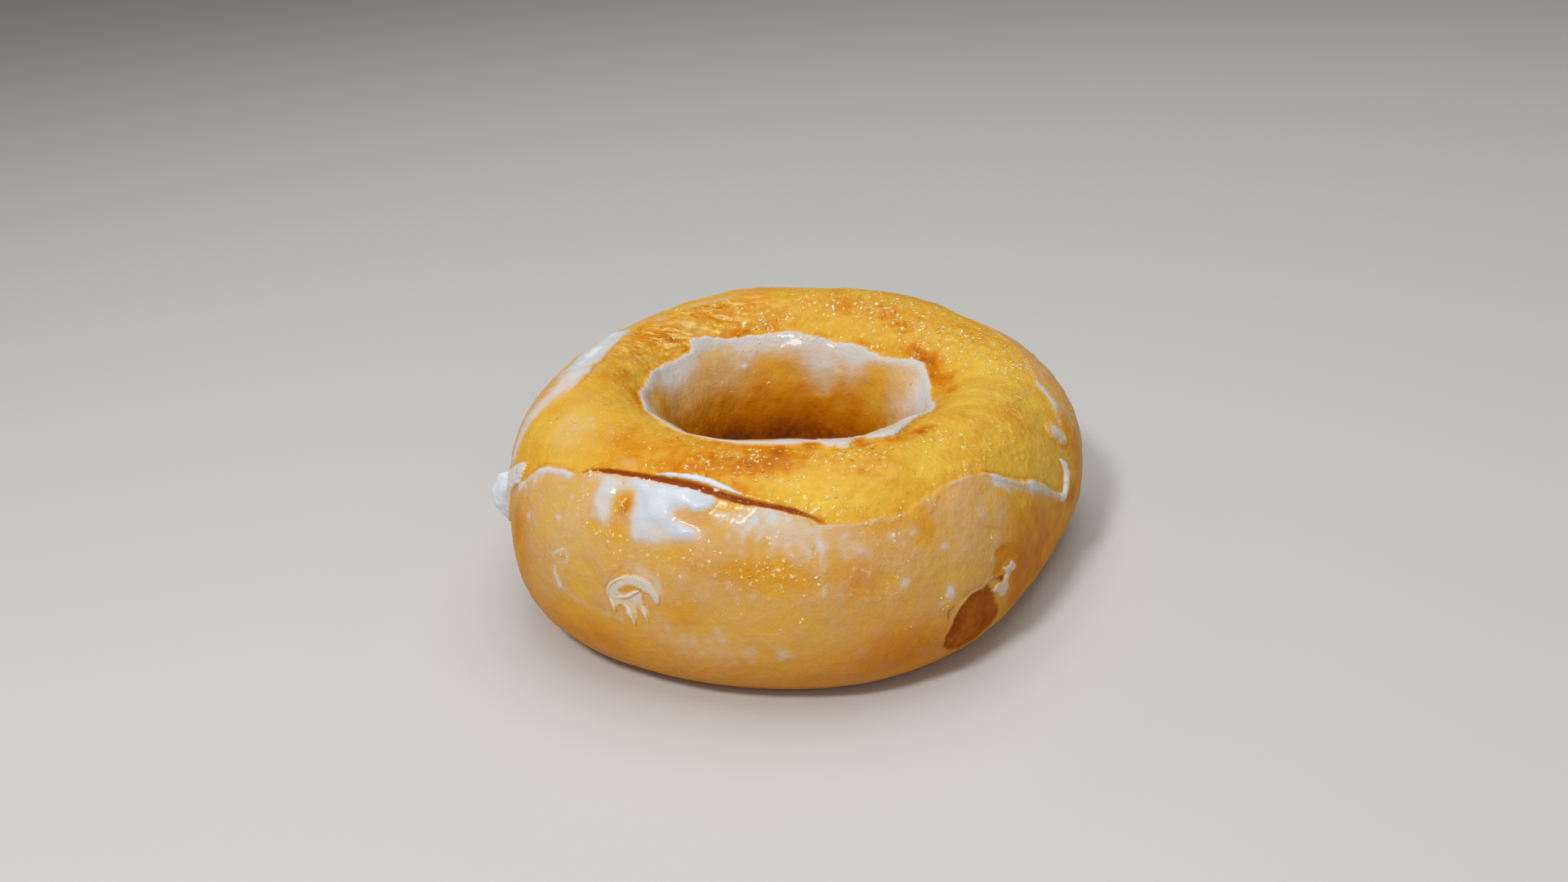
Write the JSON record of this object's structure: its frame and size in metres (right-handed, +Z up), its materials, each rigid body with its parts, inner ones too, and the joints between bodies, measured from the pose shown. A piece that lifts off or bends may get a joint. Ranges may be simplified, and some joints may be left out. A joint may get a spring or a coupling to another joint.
{
  "type": "glazed ring doughnut",
  "caption": "Whole glazed ring doughnut with an open round hole, a cracked shoulder, and drips and pools of thick white glaze.",
  "frame": {"origin": "middle of the bounding box in plan, at the underside that the doughnut rests on", "axes": "+Z up out of the top of the ring, through its hole; -Y towards the side with the crack and the curl of glaze; +X to the right of that side"},
  "size_m": [0.0966, 0.096, 0.0364],
  "materials": {
    "glazed_dough": "golden fried dough under a thin, clear and glossy sugar glaze, with small bubbles",
    "white_glaze": "thick, milky white and glossy sugar glaze"
  },
  "bodies": {
    "root": {"doughnut": "glazed_dough"}
  },
  "joints": []
}
